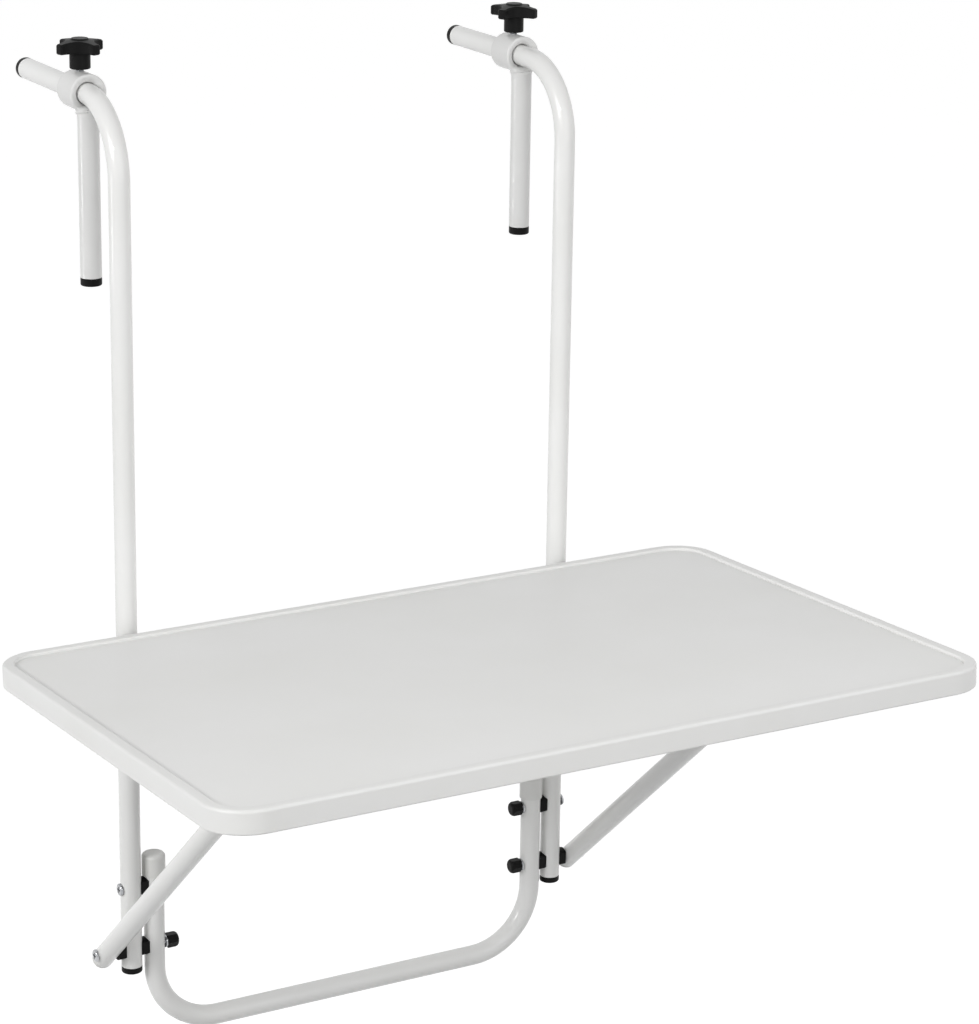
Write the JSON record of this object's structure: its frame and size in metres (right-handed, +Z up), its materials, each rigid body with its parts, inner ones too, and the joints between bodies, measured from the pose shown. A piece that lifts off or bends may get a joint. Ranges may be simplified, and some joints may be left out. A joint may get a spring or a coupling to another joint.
{
  "type": "hanging balcony table",
  "caption": "Folding table that hangs over a balcony railing: bent tube posts, sliding hook clamps with star knobs, hinged top and a swinging support bail.",
  "frame": {"origin": "under the arms over the railing, at the rear face of the posts, midway between them", "axes": "+X along the railing to the right, +Y away from the user over the railing, +Z up"},
  "size_m": [0.6, 0.5929, 0.769],
  "materials": {
    "white_steel": "glossy white powder coat",
    "board": "coated board, satin off-white",
    "edge_plastic": "smooth white edge profile",
    "white_plastic": "smooth white",
    "black_plastic": "fine grained black",
    "bright_steel": "bright zinc plated"
  },
  "bodies": {
    "frame": {"post_left": "white_steel", "post_right": "white_steel", "post_foot_cap_left": "black_plastic", "post_foot_cap_right": "black_plastic", "arm_end_cap_left": "black_plastic", "arm_end_cap_right": "black_plastic", "foot_frame": "white_steel", "foot_frame_cap_left": "white_plastic", "foot_frame_cap_right": "white_plastic", "upper_bolts": "bright_steel", "pivot_bolts": "bright_steel", "inner_spacers": "black_plastic", "pivot_spacers": "black_plastic", "nut_washers": "bright_steel", "lock_nuts": "bright_steel", "nut_caps": "black_plastic", "hinge_bolts": "bright_steel", "hinge_nuts": "bright_steel"},
    "table_top": {"table_board": "board", "table_edge": "edge_plastic", "hinge_bracket_left": "white_steel", "hinge_bracket_right": "white_steel", "bracket_screws": "bright_steel", "bail_clip_left": "white_plastic", "bail_clip_right": "white_plastic", "clip_screws": "bright_steel"},
    "support_bail": {"support_bail": "white_steel", "bail_cap_left": "white_plastic", "bail_cap_right": "white_plastic"},
    "clamp_left": {"collar_left": "white_steel", "hook_tube_left": "white_steel", "hook_cap_left": "black_plastic"},
    "screw_left": {"clamp_stud_left": "bright_steel"},
    "knob_left": {"star_knob_left": "black_plastic"},
    "clamp_right": {"collar_right": "white_steel", "hook_tube_right": "white_steel", "hook_cap_right": "black_plastic"},
    "screw_right": {"clamp_stud_right": "bright_steel"},
    "knob_right": {"star_knob_right": "black_plastic"}
  },
  "joints": [
    {"name": "top_fold", "type": "hinge", "parent": "frame", "child": "table_top", "pos_m": [0, -0.008, -0.414], "axis": [1, 0, 0], "range_deg": [0, 93.5], "deforming": ["bail_clip_left", "bail_clip_right"]},
    {"name": "bail_swing", "type": "hinge", "parent": "frame", "child": "support_bail", "pos_m": [0, -0.008, -0.643], "axis": [1, 0, 0], "range_deg": [0, 132]},
    {"name": "clamp_slide_left", "type": "slide", "parent": "frame", "child": "clamp_left", "axis": [0, 1, 0], "range_m": [0, 0.089]},
    {"name": "screw_lift_left", "type": "slide", "parent": "clamp_left", "child": "screw_left", "axis": [0, 0, 1], "range_m": [0, 0.0041]},
    {"name": "knob_turn_left", "type": "hinge", "parent": "screw_left", "child": "knob_left", "pos_m": [-0.185, 0.0605, 0.03], "axis": [0, 0, 1], "range_deg": [0, 1440]},
    {"name": "clamp_slide_right", "type": "slide", "parent": "frame", "child": "clamp_right", "axis": [0, 1, 0], "range_m": [-0.013, 0.076]},
    {"name": "screw_lift_right", "type": "slide", "parent": "clamp_right", "child": "screw_right", "axis": [0, 0, 1], "range_m": [0, 0.0041]},
    {"name": "knob_turn_right", "type": "hinge", "parent": "screw_right", "child": "knob_right", "pos_m": [0.185, 0.0735, 0.03], "axis": [0, 0, 1], "range_deg": [0, 1440]}
  ],
  "couplings": [
    {"joint": "bail_swing", "follows": "top_fold", "ratio": 1.4113},
    {"joint": "screw_lift_left", "follows": "knob_turn_left", "m_per_rad": 0.00015915},
    {"joint": "screw_lift_right", "follows": "knob_turn_right", "m_per_rad": 0.00015915}
  ]
}
